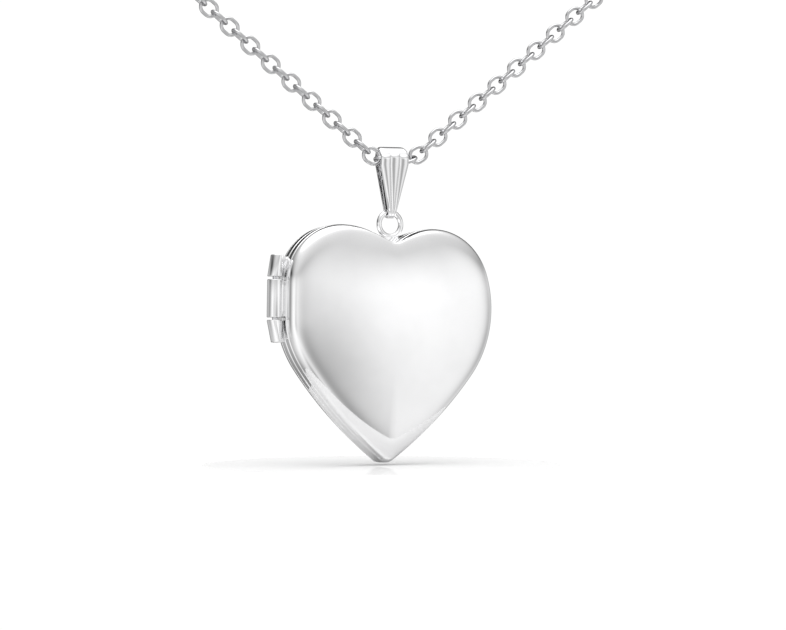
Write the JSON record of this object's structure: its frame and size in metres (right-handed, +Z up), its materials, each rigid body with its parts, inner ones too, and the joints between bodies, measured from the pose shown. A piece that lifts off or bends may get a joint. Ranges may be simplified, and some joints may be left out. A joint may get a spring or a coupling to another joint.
{
  "type": "heart locket",
  "caption": "Puffed heart locket that opens on a side hinge, hung by a fluted bail on a cable chain that ends in a lobster clasp and an end tag.",
  "frame": {"origin": "centre of the big eye of the end tag, at the free end of the chain right of the locket", "axes": "+X to the right when facing the front cover, +Y from the front cover to the back cover of the locket, +Z up; the chain arms lie in a plane turned 28 degrees about Z"},
  "size_m": [0.0692, 0.0126, 0.0666],
  "materials": {
    "polished_steel": "mirror polished stainless steel",
    "frame_metal": "fine satin steel inside the locket",
    "pin_steel": "drawn wire, plain",
    "clear_window": "clear plastic film, gloss",
    "photo_card": "plain uncoated card"
  },
  "bodies": {
    "ends": {"end_tag": "polished_steel", "tag_jump_ring": "polished_steel", "clasp_jump_ring": "polished_steel", "clasp_body": "polished_steel", "clasp_rivet": "pin_steel", "clasp_spring": "pin_steel"},
    "clasp_gate": {"clasp_lever": "polished_steel"},
    "chain": {"chain_links_left": "polished_steel", "chain_links_right": "polished_steel", "chain_links_bail": "polished_steel"},
    "bail": {"bail": "polished_steel"},
    "back_half": {"back_cover": "polished_steel", "back_rim": "polished_steel", "closing_collar": "frame_metal", "back_photo_frame": "frame_metal", "back_window": "clear_window", "back_photo_card": "photo_card", "back_knuckle_top": "polished_steel", "back_knuckle_bottom": "polished_steel", "hinge_pin": "pin_steel", "snap_catch": "frame_metal", "hanging_ring": "polished_steel"},
    "front_half": {"front_cover": "polished_steel", "front_rim": "polished_steel", "front_photo_frame": "frame_metal", "front_window": "clear_window", "front_photo_card": "photo_card", "front_knuckle": "polished_steel", "snap_tongue": "frame_metal"}
  },
  "joints": [
    {"name": "clasp_gate_press", "type": "hinge", "parent": "ends", "child": "clasp_gate", "pos_m": [-0.0604, 0.00952, 0.00103], "axis": [0.1736, 0.9848, 0], "range_deg": [0, 24], "stiffness_Nm_per_rad": 0.00001, "springref_deg": -17.19},
    {"name": "chain_swing", "type": "hinge", "parent": "ends", "child": "chain", "pos_m": [-0.00388, 0.00068, -0.00335], "axis": [0.9881, -0.1535, 0.0045], "range_deg": [-15, 15]},
    {"name": "bail_swing", "type": "hinge", "parent": "chain", "child": "bail", "pos_m": [-0.03138, 0.00484, -0.02452], "axis": [1, 0, 0], "range_deg": [-8, 8]},
    {"name": "locket_side_swing", "type": "hinge", "parent": "bail", "child": "back_half", "pos_m": [-0.03138, 0.00484, -0.03232], "axis": [0, 0.9988, -0.0489], "range_deg": [-25, 25]},
    {"name": "cover_hinge", "type": "hinge", "parent": "back_half", "child": "front_half", "pos_m": [-0.04751, 0.00404, -0.04141], "axis": [-0.0401, -0.0488, -0.998], "range_deg": [0, 170]}
  ]
}
